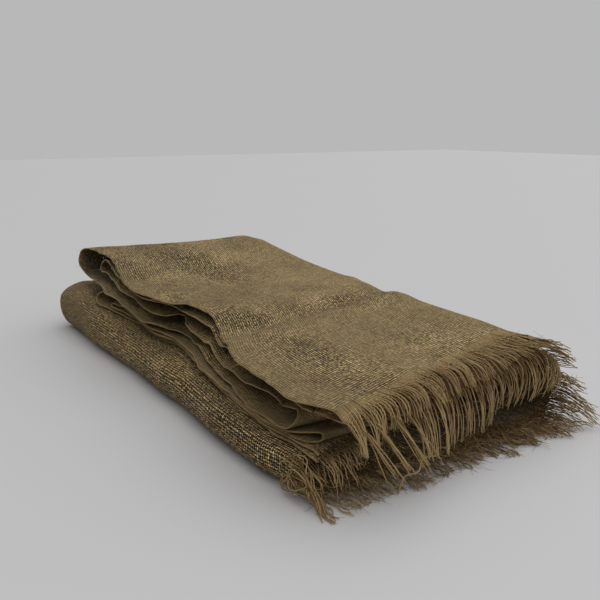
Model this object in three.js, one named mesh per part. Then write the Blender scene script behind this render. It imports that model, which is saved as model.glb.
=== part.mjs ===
// A frayed tablecloth in coarse open plain weave, folded to a sixteenth and laid flat.
//
// Flat, the cloth is a rectangle with two woven side edges (the selvedges) and two frayed ends.
// It is halved and halved again along its length, which makes a bundle of four plies with both
// frayed ends together, and that bundle is halved and halved again across its width.
// So the side view of the length and the end view of the width are the same figure: an outer
// turn, an inner turn nested in it, and one more turn at the other side.
//
// The ideal stack has equal level steps between its sixteen plies. lay() then settles it: it sets
// the height of every level along the length, pushes the free edges in and out, moves the back
// folds a little further back near the frayed end, and lets that end droop. Each step keeps the
// levels in order, so no ply passes through another.
//
// Millimetres. +X is the frayed end, -Y the side with the free edges, +Z up.
import * as THREE from "three";

// ---- Driving sizes ----

const CLOTH = 1.1; // thickness of the woven cloth
const STEP = 3.6; // level step between plies in the ideal stack
const BUNDLE = 4 * STEP; // level step between the four-ply bundles
const FRONT = 0; // y of the selvedges before they are shifted
const FRONT_TURN = -4.4; // y where the front fold starts to turn
const BACK_TURN = 162; // y where the back folds start to turn
const BACK_REACH = 0.9; // reach of a back fold against its half height
const TURN_REACH = { outer: 12, inner: 5, half: 6 }; // reach of each crosswise fold along x
const HEM_GAP = 1.2; // between the cloth and the fringe pieces

const FRINGE = {
  header: 3.5, // woven-in strip that carries the threads
  length: 34, // threads beyond it
  thickness: 0.8,
  lean: 3, // how far a tuft's tip swings sideways
  leanStep: 37, // radians of swing from one run of tufts to the next, so that they differ
  droopStart: 404, // x where the threads start to fall
  droopEnd: 450,
  droopTo: 0.45, // share of its height that a level keeps at the tips
};

// How a tuft narrows towards its middle and how much of the lean it takes, from tip to header.
const TUFT_ROWS = [
  { beyond: 1, narrow: 0.5, swing: 1 },
  { beyond: 0.7, narrow: 0.2, swing: 0.6 },
  { beyond: 0.35, narrow: 0.05, swing: 0.2 },
  { beyond: 0, narrow: 0, swing: 0 },
];

// Where the crosswise folds and the frayed ends lie, as x, at each corner of each bundle.
// The bundles are listed in the order in which the width runs through them, and the four runs
// between the folds add up to nearly the same length of cloth at every corner.
const CORNERS = [
  { at: "top front", outer: -22, inner: 18, half: 362, upperEnd: 413, lowerEnd: 389 },
  { at: "top back", outer: 6, inner: 8, half: 366, upperEnd: 358, lowerEnd: 382 },
  { at: "bottom back", outer: -8, inner: 8, half: 362, upperEnd: 390, lowerEnd: 384 },
  { at: "bottom front", outer: -26, inner: 30, half: 344, upperEnd: 392, lowerEnd: 380 },
  { at: "third front", outer: -38, inner: 15, half: 345, upperEnd: 384, lowerEnd: 378 },
  { at: "third back", outer: -2, inner: 4, half: 364, upperEnd: 338, lowerEnd: 334 },
  { at: "second back", outer: 4, inner: 8, half: 366, upperEnd: 336, lowerEnd: 332 },
  { at: "second front", outer: 52, inner: 72, half: 377, upperEnd: 394, lowerEnd: 391 },
];

// Height of a level at named places along the length, from the folded end to the frayed end.
const HEIGHT_PLACES = { folded: -30, pocket: 40, third: 150, middle: 250, turn: 350, frayed: 410 };
const HEIGHTS = [
  { ply: 0.5, folded: 0.55, pocket: 0.55, third: 0.55, middle: 0.55, turn: 0.55, frayed: 0.55 },
  { ply: 4, folded: 20.5, pocket: 17.5, third: 14.5, middle: 13.6, turn: 12.4, frayed: 11.8 },
  { ply: 6.5, folded: 37, pocket: 31.5, third: 24.5, middle: 22.6, turn: 19.6, frayed: 18 },
  { ply: 7.5, folded: 41, pocket: 34.6, third: 27, middle: 24.6, turn: 21.3, frayed: 19.8 },
  { ply: 8.5, folded: 43.2, pocket: 37.4, third: 29.2, middle: 26.6, turn: 23, frayed: 21.8 },
  { ply: 9.5, folded: 45.6, pocket: 40.6, third: 31.6, middle: 28.6, turn: 24.7, frayed: 24 },
  { ply: 11.5, folded: 50.4, pocket: 49, third: 37.2, middle: 32.4, turn: 27.7, frayed: 30.4 },
  { ply: 12.5, folded: 53, pocket: 51.6, third: 42, middle: 37.2, turn: 29.4, frayed: 33.4 },
  { ply: 13.5, folded: 63, pocket: 61, third: 53, middle: 46.2, turn: 38.8, frayed: 43.8 },
  { ply: 14.5, folded: 72.5, pocket: 69, third: 62.5, middle: 56.6, turn: 51, frayed: 48.4 },
  { ply: 15.5, folded: 77.5, pocket: 73.6, third: 66.5, middle: 60.4, turn: 55.2, frayed: 52.2 },
];

// How far the free edges stand forward (-) or back (+), by place along the length: the top edge,
// the edges above and below the open turn, the edge below that, the lowest edge, and the front
// fold, each with its ply.
const EDGE_PLIES = { fold: 5, low: 8.5, mid: 11.5, under: 12.5, over: 13.5, top: 15.5 };
const EDGES = [
  { x: -34, top: 6, over: 1, under: 3, mid: 14, low: 16, fold: -2 },
  { x: 20, top: 12, over: 8, under: 0, mid: -3, low: -8, fold: -2 },
  { x: 60, top: 6, over: 2, under: -5, mid: -2, low: -5, fold: -3 },
  { x: 90, top: -2, over: -2, under: -5, mid: 1, low: 2, fold: -2 },
  { x: 120, top: -7, over: -1, under: -4, mid: 2, low: 5, fold: -1 },
  { x: 148, top: -10, over: -4, under: -5, mid: -1, low: 6, fold: 0 },
  { x: 162, top: -5, over: 1, under: 1, mid: 2, low: 7, fold: -1 },
  { x: 174, top: -3, over: 12, under: 8, mid: 6, low: 9, fold: -1 },
  { x: 205, top: 5, over: 6, under: 10, mid: 4, low: 8, fold: -2 },
  { x: 235, top: 10, over: 5, under: 3, mid: -2, low: 3, fold: -1 },
  { x: 265, top: 3, over: -1, under: -2, mid: -7, low: -2, fold: -3 },
  { x: 300, top: -10, over: -5, under: -7, mid: -8, low: -8, fold: -5 },
  { x: 335, top: -14, over: -1, under: -10, mid: -10, low: -9, fold: -5 },
  { x: 352, top: -15, over: 0, under: -11, mid: -9, low: -9, fold: -5 },
  { x: 370, top: -15, over: -3, under: -9, mid: -6, low: -8, fold: -2 },
  { x: 384, top: -14, over: -8, under: -12, mid: 3, low: -9, fold: -1 },
  { x: 400, top: -6, over: -9, under: -12, mid: 4, low: -9, fold: 0 },
  { x: 416, top: -6, over: -9, under: -12, mid: 4, low: -9, fold: 0 },
];
const EDGE_FADE = 130; // the edge shifts die out this far from the front

// The back folds stand further back towards the frayed end: where they start to, where they have
// done so, where across the width the plies start and stop to follow, and how far.
const SPLAY = { start: 270, end: 390, near: 70, far: 180, by: 9 };

// Air caught between two plies: everything above the given level is lifted, or let down (-).
const POCKETS = [
  { at: "edge wave", x: 226, y: 0, before: 32, after: 18, wide: 40, ply: 15, soft: 1, lift: 4.5 },
  { at: "open turn", x: 384, y: 0, before: 14, after: 30, wide: 34, ply: 11, soft: 0.8, lift: 3 },
  { at: "over turn", x: 384, y: 0, before: 14, after: 30, wide: 34, ply: 13, soft: 1.5, lift: -3 },
  { at: "back hump", x: 10, y: 180, before: 60, after: 50, wide: 60, ply: 15, soft: 1, lift: 4 },
  { at: "behind it", x: 42, y: 182, before: 34, after: 60, wide: 34, ply: 13, soft: 4, lift: 4.5 },
  { at: "along the back", x: 300, y: 178, before: 130, after: 110, wide: 40, ply: 12, soft: 6, lift: 3.6 },
];

// Grid lines that all plies share, so that neighbouring plies bend at the same places.
const GRID_X = [78, 118, 150, 178, 208, 238, 272, 320];
const GRID_Y = [28, 88];
const FAR_SHARE = 0.7; // place of one more grid line between the last of GRID_X and the end or fold
const TURN_STEPS = { outer: 5, inner: 4, half: 4, backOuter: 6, front: 6, backInner: 4 };
const TUFTS = [7, 3, 7, 2, 7, 0, 7]; // fringe tufts on each stretch of the edge
const TUFT_SHARE = 0.68; // share of the edge that a tuft takes, the rest being gap
const TUFT_CLEAR = 1e-6; // tells a grid place on a tuft from one beside it
const NUDGE = 0.002; // step along u and v for the slope of the surface

// ---- Small helpers ----

const clamp = (value, low, high) => Math.min(Math.max(value, low), high);
const mix = (a, b, t) => a + (b - a) * t;

function smooth(t) {
  const c = clamp(t, 0, 1);
  return c * c * (3 - 2 * c);
}

// A smooth curve through the points (xs, ys), level beyond both ends.
function curveThrough(xs, ys, x) {
  const last = xs.length - 1;
  const slope = (i) => {
    if (i === 0) return (ys[1] - ys[0]) / (xs[1] - xs[0]);
    if (i === last) return (ys[last] - ys[last - 1]) / (xs[last] - xs[last - 1]);
    const before = xs[i] - xs[i - 1];
    const after = xs[i + 1] - xs[i];
    const rise = ((ys[i] - ys[i - 1]) / before) * after + ((ys[i + 1] - ys[i]) / after) * before;
    return rise / (before + after);
  };
  const at = clamp(x, xs[0], xs[last]);
  let i = 0;
  while (i < last - 1 && at > xs[i + 1]) i += 1;
  const span = xs[i + 1] - xs[i];
  const t = (at - xs[i]) / span;
  const u = 1 - t;
  const ends = (1 + 2 * t) * u * u * ys[i] + t * t * (3 - 2 * t) * ys[i + 1];
  return ends + span * (t * u * u * slope(i) - t * t * u * slope(i + 1));
}

// ---- The folded figure before it settles ----

// Values of CORNERS at a place along the width: 0 to 7, where even steps are the flat strips
// and odd steps are the turns between them.
function cornersAt(v) {
  const i = clamp(Math.floor(v), 0, CORNERS.length - 2);
  const [a, b] = [CORNERS[i], CORNERS[i + 1]];
  const names = ["outer", "inner", "half", "upperEnd", "lowerEnd"];
  return Object.fromEntries(names.map((name) => [name, mix(a[name], b[name], v - i)]));
}

// Along the length, u runs 0 to 7: x, and the offset of the ply from the middle of its bundle.
function lengthwise(u, v) {
  const c = cornersAt(v);
  const run = clamp(Math.floor(u), 0, 6);
  const t = u - run;
  const turn = Math.PI * t;
  const straight = (from, to, plies) => [mix(from, to, t), plies * STEP];
  const loop = (from, reach, middle, half) => [
    from + reach * Math.sin(turn),
    (middle + half * Math.cos(turn)) * STEP,
  ];
  return [
    () => straight(c.upperEnd, c.outer, 1.5),
    () => loop(c.outer, -TURN_REACH.outer, 0, 1.5),
    () => straight(c.outer, c.half, -1.5),
    () => loop(c.half, TURN_REACH.half, -1, -0.5),
    () => straight(c.half, c.inner, -0.5),
    () => loop(c.inner, -TURN_REACH.inner, 0, -0.5),
    () => straight(c.inner, c.lowerEnd, 0.5),
  ][run]();
}

// Across the width, v runs 0 to 7: y and the level of a ply with the given offset in its bundle.
function widthwise(v, offset) {
  const run = clamp(Math.floor(v), 0, 6);
  const t = v - run;
  const turn = Math.PI * t;
  const strip = (from, to, level) => [mix(from, to, t), level];
  const loop = (from, side, middle, radius) => [
    from + side * Math.abs(radius) * Math.sin(turn),
    middle + radius * Math.cos(turn),
  ];
  return [
    () => strip(FRONT, BACK_TURN, 3.5 * BUNDLE + offset),
    () => loop(BACK_TURN, BACK_REACH, 2 * BUNDLE, 1.5 * BUNDLE + offset),
    () => strip(BACK_TURN, FRONT_TURN, 0.5 * BUNDLE - offset),
    () => loop(FRONT_TURN, -1, BUNDLE, -(0.5 * BUNDLE + offset)),
    () => strip(FRONT_TURN, BACK_TURN, 1.5 * BUNDLE + offset),
    () => loop(BACK_TURN, BACK_REACH, 2 * BUNDLE, -(0.5 * BUNDLE - offset)),
    () => strip(BACK_TURN, FRONT, 2.5 * BUNDLE - offset),
  ][run]();
}

// ---- Settling ----

function heightOf(x, level) {
  const plies = HEIGHTS.map((row) => row.ply * STEP);
  const at = Object.keys(HEIGHT_PLACES).map((place) =>
    curveThrough(plies, HEIGHTS.map((row) => row[place]), level),
  );
  return curveThrough(Object.values(HEIGHT_PLACES), at, x);
}

function edgeShift(x, level) {
  const names = Object.keys(EDGE_PLIES);
  const levels = names.map((name) => EDGE_PLIES[name] * STEP);
  const at = clamp(level, levels[0], levels[levels.length - 1]);
  let i = 0;
  while (i < levels.length - 2 && at > levels[i + 1]) i += 1;
  const places = EDGES.map((row) => row.x);
  const shift = (name) => curveThrough(places, EDGES.map((row) => row[name]), x);
  return mix(shift(names[i]), shift(names[i + 1]), smooth((at - levels[i]) / (levels[i + 1] - levels[i])));
}

function pocketLift(pocket, x, y, level) {
  const along = (x - pocket.x) / (x < pocket.x ? pocket.before : pocket.after);
  const across = (y - pocket.y) / pocket.wide;
  const above = smooth((level / STEP - pocket.ply) / pocket.soft + 0.5);
  return pocket.lift * Math.exp(-along * along - across * across) * above;
}

function droop(x) {
  return mix(1, FRINGE.droopTo, smooth((x - FRINGE.droopStart) / (FRINGE.droopEnd - FRINGE.droopStart)));
}

function splay(x, y) {
  const { start, end, near, far, by } = SPLAY;
  return by * smooth((x - start) / (end - start)) * smooth((y - near) / (far - near));
}

function lay(x, y, level) {
  const lifts = POCKETS.reduce((sum, pocket) => sum + pocketLift(pocket, x, y, level), 0);
  const floor = CLOTH / 2;
  const z = floor + (heightOf(x, level) + lifts - floor) * droop(x);
  return new THREE.Vector3(x, y + edgeShift(x, level) * smooth(1 - y / EDGE_FADE) + splay(x, y), z);
}

function place(u, v) {
  const [x, offset] = lengthwise(u, v);
  const [y, level] = widthwise(v, offset);
  return lay(x, y, level);
}

// ---- Solids ----

// The upward normal of a surface point(a, b) whose a runs along -x and b along +y on the top ply.
function normalOf(point, a, b, limitA, limitB) {
  const step = (value, limit) => [-NUDGE, NUDGE].map((by) => clamp(value + by, ...limit));
  const [aLow, aHigh] = step(a, limitA);
  const [bLow, bHigh] = step(b, limitB);
  const alongA = point(aHigh, b).sub(point(aLow, b));
  const alongB = point(a, bHigh).sub(point(a, bLow));
  return alongB.cross(alongA).normalize();
}

// One closed plate over a grid of middle points and normals. keep(i, j) says which cells are
// there, and flip(i, j) which way a cell is split, so that plies in a stack split alike.
function plate(points, normals, thickness, keep, flip) {
  const rows = points.length;
  const columns = points[0].length;
  const positions = [];
  const index = (i, j, side) => 2 * (i * columns + j) + side;
  for (let i = 0; i < rows; i += 1) {
    for (let j = 0; j < columns; j += 1) {
      for (const side of [1, -1]) {
        const corner = points[i][j].clone().addScaledVector(normals[i][j], (side * thickness) / 2);
        positions.push(corner.x, corner.y, corner.z);
      }
    }
  }
  const triangles = [];
  const there = (i, j) => i >= 0 && j >= 0 && i < rows - 1 && j < columns - 1 && keep(i, j);
  const quad = (a, b, c, d) => triangles.push(a, b, c, a, c, d);
  for (let i = 0; i < rows - 1; i += 1) {
    for (let j = 0; j < columns - 1; j += 1) {
      if (!there(i, j)) continue;
      const corners = [[i, j], [i, j + 1], [i + 1, j + 1], [i + 1, j]];
      const first = flip(i, j) ? 1 : 0;
      const ring = corners.map((_, k) => corners[(k + first) % 4]);
      quad(...ring.map(([a, b]) => index(a, b, 0)));
      quad(...ring.map(([a, b]) => index(a, b, 1)).reverse().map((_, k, all) => all[(k + 3) % 4]));
      const beside = [[i, j - 1], [i - 1, j], [i, j + 1], [i + 1, j]];
      const sides = [[3, 0], [0, 1], [1, 2], [2, 3]];
      beside.forEach(([a, b], k) => {
        if (there(a, b)) return;
        const [from, to] = sides[k].map((corner) => corners[corner]);
        quad(index(...from, 0), index(...from, 1), index(...to, 1), index(...to, 0));
      });
    }
  }
  const geometry = new THREE.BufferGeometry();
  const used = [...new Set(triangles)];
  const renumber = new Map(used.map((old, fresh) => [old, fresh]));
  const kept = used.flatMap((old) => positions.slice(3 * old, 3 * old + 3));
  geometry.setAttribute("position", new THREE.Float32BufferAttribute(kept, 3));
  geometry.setIndex(triangles.map((old) => renumber.get(old)));
  geometry.computeVertexNormals();
  return geometry;
}

// Places along u for one v: evenly round the turns, and on GRID_X along the straights.
function lengthNodes(v) {
  const c = cornersAt(v);
  const onGrid = (run, from, to) => {
    const [near, far] = [Math.min(from, to), Math.max(from, to)];
    const outside = near === c.outer ? [(near + GRID_X[0]) / 2] : [];
    const rising = [...outside, ...GRID_X, mix(GRID_X[GRID_X.length - 1], far, FAR_SHARE)];
    const inside = from > to ? rising.reverse() : rising;
    return [run, ...inside.map((x) => run + (x - from) / (to - from))];
  };
  const round = (run, steps) => Array.from({ length: steps }, (_, k) => run + k / steps);
  return [
    ...onGrid(0, c.upperEnd, c.outer),
    ...round(1, TURN_STEPS.outer),
    ...onGrid(2, c.outer, c.half),
    ...round(3, TURN_STEPS.half),
    ...onGrid(4, c.half, c.inner),
    ...round(5, TURN_STEPS.inner),
    ...onGrid(6, c.inner, c.lowerEnd),
    7,
  ];
}

// Places along v: evenly round the turns, and on GRID_Y along the strips.
function widthNodes() {
  const strip = (run, from, to) => {
    const inside = from > to ? [...GRID_Y].reverse() : GRID_Y;
    return [run, ...inside.map((y) => run + (y - from) / (to - from))];
  };
  const round = (run, steps) => Array.from({ length: steps }, (_, k) => run + k / steps);
  return [
    ...strip(0, FRONT, BACK_TURN),
    ...round(1, TURN_STEPS.backOuter),
    ...strip(2, BACK_TURN, FRONT_TURN),
    ...round(3, TURN_STEPS.front),
    ...strip(4, FRONT_TURN, BACK_TURN),
    ...round(5, TURN_STEPS.backInner),
    ...strip(6, BACK_TURN, FRONT),
    7,
  ];
}

function clothGeometry() {
  const across = widthNodes();
  const columns = across.map((v) => lengthNodes(v).map((u) => [u, v]));
  const grid = columns[0].map((_, i) => columns.map((column) => column[i]));
  const points = grid.map((row) => row.map(([u, v]) => place(u, v)));
  const normals = grid.map((row) => row.map(([u, v]) => normalOf(place, u, v, [0, 7], [0, 7])));
  const runsBack = (i, j) => {
    const [u, v] = grid[i][j];
    return (Math.floor(u) % 4 < 2) === (Math.floor(v) % 4 < 2);
  };
  return plate(points, normals, CLOTH, () => true, runsBack);
}

// Places along a frayed edge: the cloth's own grid places, and the two sides of each tuft.
function fringeNodes() {
  const nodes = widthNodes().map((v) => ({ v }));
  TUFTS.forEach((tufts, run) => {
    for (let k = 0; k < tufts; k += 1) {
      const left = run + (k + (1 - TUFT_SHARE) / 2) / tufts;
      const right = run + (k + (1 + TUFT_SHARE) / 2) / tufts;
      const inside = (node) => node.v > left - TUFT_CLEAR && node.v < right + TUFT_CLEAR;
      const middle = nodes.filter((node) => inside(node) && !node.side);
      middle.forEach((node) => Object.assign(node, { tuft: true, centre: (left + right) / 2 }));
      nodes.push({ v: left, tuft: true, centre: (left + right) / 2, side: true });
      nodes.push({ v: right, centre: (left + right) / 2, side: true });
    }
  });
  return nodes.sort((a, b) => a.v - b.v);
}

// A comb that carries the threads of one frayed end: a strip along the edge and tapering tufts.
function fringeGeometry(end, plies) {
  const nodes = fringeNodes();
  const { header, length, lean, leanStep } = FRINGE;
  const tuftRows = TUFT_ROWS.map((row) => ({ ...row, w: header + length * row.beyond }));
  const rows = [...tuftRows, { w: HEM_GAP, narrow: 0, swing: 0 }];
  const point = (w, v) => {
    const [y, level] = widthwise(v, plies * STEP);
    return lay(cornersAt(v)[end] - w, y, level);
  };
  const places = rows.map((row) => nodes.map((node) => {
    const v = node.centre === undefined ? node.v : mix(node.v, node.centre, row.narrow);
    return [-row.w, v];
  }));
  const limits = [[-header - length, 0], [0, 7]];
  const normals = places.map((row) => row.map(([w, v]) => normalOf(point, w, v, ...limits)));
  const points = places.map((row, i) => row.map(([w, v], j) => {
    const flat = Math.floor(nodes[j].centre ?? v) % 2 === 0;
    const sway = Math.sin(leanStep * (nodes[j].centre ?? 0) + plies) * lean * rows[i].swing;
    return point(w, v).add(new THREE.Vector3(0, flat ? sway : 0, 0));
  }));
  const onStrip = rows.length - 2;
  const keep = (i, j) => i === onStrip || Boolean(nodes[j].tuft);
  return plate(points, normals, FRINGE.thickness, keep, () => false);
}

// ---- The object ----

const linen = new THREE.MeshStandardMaterial({
  name: "natural linen",
  color: 0x85755a,
  roughness: 0.95,
  metalness: 0,
  side: THREE.DoubleSide,
});
const threads = new THREE.MeshStandardMaterial({
  name: "frayed threads",
  color: 0x96825a,
  roughness: 0.9,
  metalness: 0,
});

function mesh(name, geometry, material) {
  const made = new THREE.Mesh(geometry, material);
  made.name = name;
  return made;
}

const tablecloth = new THREE.Group();
tablecloth.name = "tablecloth";
tablecloth.add(
  mesh("cloth", clothGeometry(), linen),
  mesh("fringe_upper", fringeGeometry("upperEnd", 1.5), threads),
  mesh("fringe_lower", fringeGeometry("lowerEnd", 0.5), threads),
);

// The origin is under the middle of the whole stack.
const box = new THREE.Box3().setFromObject(tablecloth);
tablecloth.position.set(-(box.min.x + box.max.x) / 2, -(box.min.y + box.max.y) / 2, -box.min.z);
tablecloth.updateMatrixWorld(true);

export default tablecloth;
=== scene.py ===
"""A tablecloth of coarse, open linen with frayed ends, folded to a sixteenth and laid flat.

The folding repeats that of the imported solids, on a finer grid: the cloth is halved and halved
again along its length, and then halved and halved again across its width. figure() gives the
middle of the cloth for a place (u, v) on it. Both run from 0 to 7: even runs are straight, and
odd ones are the turns between them. The tables are in millimetres, and MM brings what is made
from them to metres.
"""
import math

import bpy
import numpy as np
from bpy.props import FloatProperty, FloatVectorProperty, PointerProperty
from bpy.types import Operator, Panel, PropertyGroup
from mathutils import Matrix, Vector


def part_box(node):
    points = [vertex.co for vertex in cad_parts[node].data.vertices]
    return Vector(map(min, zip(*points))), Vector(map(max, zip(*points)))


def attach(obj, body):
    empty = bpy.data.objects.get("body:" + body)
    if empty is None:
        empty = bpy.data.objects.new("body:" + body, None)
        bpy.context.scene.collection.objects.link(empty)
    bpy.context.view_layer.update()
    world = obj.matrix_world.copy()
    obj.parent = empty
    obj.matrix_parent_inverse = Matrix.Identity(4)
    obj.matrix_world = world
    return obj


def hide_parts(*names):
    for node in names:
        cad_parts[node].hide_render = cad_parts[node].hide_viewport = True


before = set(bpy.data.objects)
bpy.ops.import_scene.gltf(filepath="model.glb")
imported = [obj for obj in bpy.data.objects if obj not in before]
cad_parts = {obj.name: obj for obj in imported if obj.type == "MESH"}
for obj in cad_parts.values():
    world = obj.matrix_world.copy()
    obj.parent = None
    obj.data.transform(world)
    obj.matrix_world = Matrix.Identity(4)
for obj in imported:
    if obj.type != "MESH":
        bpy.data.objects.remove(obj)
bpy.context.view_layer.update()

bl_info = {
    "name": "Folded tablecloth",
    "version": (1, 0, 0),
    "blender": (4, 5, 0),
    "location": "3D View > Sidebar > Tablecloth",
    "description": "Makes a folded linen tablecloth with frayed ends",
    "category": "Object",
}

MM = 0.001
SEED = 7

# ---- The fold figure, in millimetres ----

STEP = 3.6  # level step between plies in the ideal stack
BUNDLE = 4 * STEP  # level step between the four-ply bundles
FRONT = 0.0  # y of the selvedges before they are shifted
FRONT_TURN = -4.4  # y where the front fold starts to turn
BACK_TURN = 162.0  # y where the back folds start to turn
BACK_REACH = 0.9  # reach of a back fold against its half height
TURN_REACH = {"outer": 12.0, "inner": 5.0, "half": 6.0}  # reach of each crosswise fold along x
RUNS = 7  # straight runs and turns, both ways of the cloth

# Where the crosswise folds and the frayed ends lie, as x, at each corner of each bundle.
CORNER_COLUMNS = ("outer", "inner", "half", "upper_end", "lower_end")
CORNERS = (
    (-22, 18, 362, 413, 389),  # top front
    (6, 8, 366, 358, 382),  # top back
    (-8, 8, 362, 390, 384),  # bottom back
    (-26, 30, 344, 392, 380),  # bottom front
    (-38, 15, 345, 384, 378),  # third front
    (-2, 4, 364, 338, 334),  # third back
    (4, 8, 366, 336, 332),  # second back
    (52, 72, 377, 394, 391),  # second front
)

# Height of a level at places along x, from the folded end to the frayed end.
HEIGHT_PLACES = (-30, 40, 150, 250, 350, 410)
HEIGHT_COLUMNS = ("ply", *HEIGHT_PLACES)
HEIGHTS = (
    (0.5, 0.55, 0.55, 0.55, 0.55, 0.55, 0.55),
    (4.0, 20.5, 17.5, 14.5, 13.6, 12.4, 11.8),
    (6.5, 37.0, 31.5, 24.5, 22.6, 19.6, 18.0),
    (7.5, 41.0, 34.6, 27.0, 24.6, 21.3, 19.8),
    (8.5, 43.2, 37.4, 29.2, 26.6, 23.0, 21.8),
    (9.5, 45.6, 40.6, 31.6, 28.6, 24.7, 24.0),
    (11.5, 50.4, 49.0, 37.2, 32.4, 27.7, 30.4),
    (12.5, 53.0, 51.6, 42.0, 37.2, 29.4, 33.4),
    (13.5, 63.0, 61.0, 53.0, 46.2, 38.8, 43.8),
    (14.5, 72.5, 69.0, 62.5, 56.6, 51.0, 48.4),
    (15.5, 77.5, 73.6, 66.5, 60.4, 55.2, 52.2),
)

# How far the free edges stand forward (-) or back (+): the top edge, the edges above and below
# the open turn, the edge below that, the lowest edge, and the front fold, each with its ply.
EDGE_PLIES = {"fold": 5, "low": 8.5, "mid": 11.5, "under": 12.5, "over": 13.5, "top": 15.5}
EDGE_COLUMNS = ("x", "top", "over", "under", "mid", "low", "fold")
EDGES = (
    (-34, 6, 1, 3, 14, 16, -2),
    (20, 12, 8, 0, -3, -8, -2),
    (60, 6, 2, -5, -2, -5, -3),
    (90, -2, -2, -5, 1, 2, -2),
    (120, -7, -1, -4, 2, 5, -1),
    (148, -10, -4, -5, -1, 6, 0),
    (162, -5, 1, 1, 2, 7, -1),
    (174, -3, 12, 8, 6, 9, -1),
    (205, 5, 6, 10, 4, 8, -2),
    (235, 10, 5, 3, -2, 3, -1),
    (265, 3, -1, -2, -7, -2, -3),
    (300, -10, -5, -7, -8, -8, -5),
    (335, -14, -1, -10, -10, -9, -5),
    (352, -15, 0, -11, -9, -9, -5),
    (370, -15, -3, -9, -6, -8, -2),
    (384, -14, -8, -12, 3, -9, -1),
    (400, -6, -9, -12, 4, -9, 0),
    (416, -6, -9, -12, 4, -9, 0),
)
EDGE_FADE = 130.0  # the edge shifts die out this far from the front
# Towards the frayed end the back folds stand further back: along x and y the plies come to follow
# between these places, and at most by this much.
SPLAY = {"x": (270, 390), "y": (70, 180), "by": 9.0}

# Air caught between two plies: everything above the given ply is lifted, or let down (-).
# Columns: x, y, before, after, wide, ply, soft, lift.
POCKETS = (
    (226, 0, 32, 18, 40, 15, 1, 4.5),  # edge wave
    (384, 0, 14, 30, 34, 11, 0.8, 3.0),  # open turn
    (384, 0, 14, 30, 34, 13, 1.5, -3.0),  # over that turn
    (10, 180, 60, 50, 60, 15, 1, 4),  # back hump
    (42, 182, 34, 60, 34, 13, 4, 4.5),  # behind it
    (300, 178, 130, 110, 40, 12, 6, 3.6),  # along the back
)

# Soft ridges (+) and troughs (-) of the upper plies, each from one place to another.
# Columns: x, y, to_x, to_y, wide, lift.
RIDGES = (
    (292, -20, 252, 165, 14, 2.2),  # crease right across
    (274, -10, 226, 175, 13, -2.6),  # hollow beside it
    (207, 10, 214, 95, 15, 2.0),  # ridge in from the edge wave
    (228, 42, 246, 72, 10, -1.4),
    (70, 66, 155, 90, 17, -2.0),
    (166, 25, 182, 75, 12, 1.2),
    (112, 142, 172, 138, 8, -1.3),
    (30, 120, 95, 118, 14, 1.3),
    (20, 20, 48, 95, 13, 1.4),
    (110, 5, 118, 60, 10, -1.2),
    (196, 120, 186, 178, 9, 1.4),
    (300, 120, 352, 165, 13, -1.3),
    (330, 60, 392, 78, 12, 1.0),
    (318, 12, 372, 22, 11, -1.0),
)
RIDGE_PLY = 13.5  # the ply at which they have died out by half
RIDGE_SOFT = 4.0  # over how many plies they die out

DROOP = {"x": (404.0, 450.0), "to": 0.45}  # where the frayed end falls, and to what share

# ---- The grid of the sheet and its unevenness ----

LENGTH_CELLS = (108, 14, 56, 10, 46, 10, 52)  # cells on each run along the length
WIDTH_CELLS = (44, 16, 20, 14, 20, 8, 34)  # cells on each run across the width
CROWDED = {0: 1.35, 6: -1.35}  # the two runs whose cells crowd towards a free edge
# The small unevenness of the cloth: sums of waves of (length, size, phase).
EDGE_WAVES = ((53.0, 0.45, 0.0), (31.0, 0.35, 0.3), (19.0, 0.25, 0.6))
EDGE_FLUTTERS = ((67.0, 0.5, 0.2), (38.0, 0.4, 0.7), (23.0, 0.2, 0.1))
LENGTH_WAVES = ((83.0, 0.5, 0.1), (44.0, 0.35, 0.5), (27.0, 0.2, 0.9))
WIDTH_WAVES = ((71.0, 0.5, 0.4), (39.0, 0.3, 0.8), (24.0, 0.2, 0.2))
EDGE_DEPTH = 14.0  # how far in from a free edge its waves reach
EDGE_SWAY = 1.1  # how far the waves push an edge in or out
EDGE_LIFT = 0.2 * STEP  # how far they move it up or down, small enough to clear the next ply
FACE_LIFT = 0.1 * STEP
FRONT_FOLD = 3.5  # place of the front fold across the width
# Where the flat lengths are evened out: for the front fold between places 2 and 3 across the
# width, from there to the far edge between 4 and 6, and along the length between 3 and 5.
HIDDEN_ACROSS = (0, 2, 3, 4, 6, 7)
HIDDEN_ALONG = (0, 3, 5, 7)


def smooth(t):
    """A soft step from 0 to 1."""
    c = np.clip(t, 0.0, 1.0)
    return c * c * (3 - 2 * c)


def rise(x, start, end):
    """0 up to start and 1 from end on, with a soft step between them."""
    return smooth((x - start) / (end - start))


def mix(a, b, t):
    """a at t 0 and b at t 1."""
    return a + (b - a) * t


def unit(vectors):
    """The same directions with length 1."""
    return vectors / np.linalg.norm(vectors, axis=-1, keepdims=True)


def column(table, columns, name):
    """One named column of a table."""
    return [row[columns.index(name)] for row in table]


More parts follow.
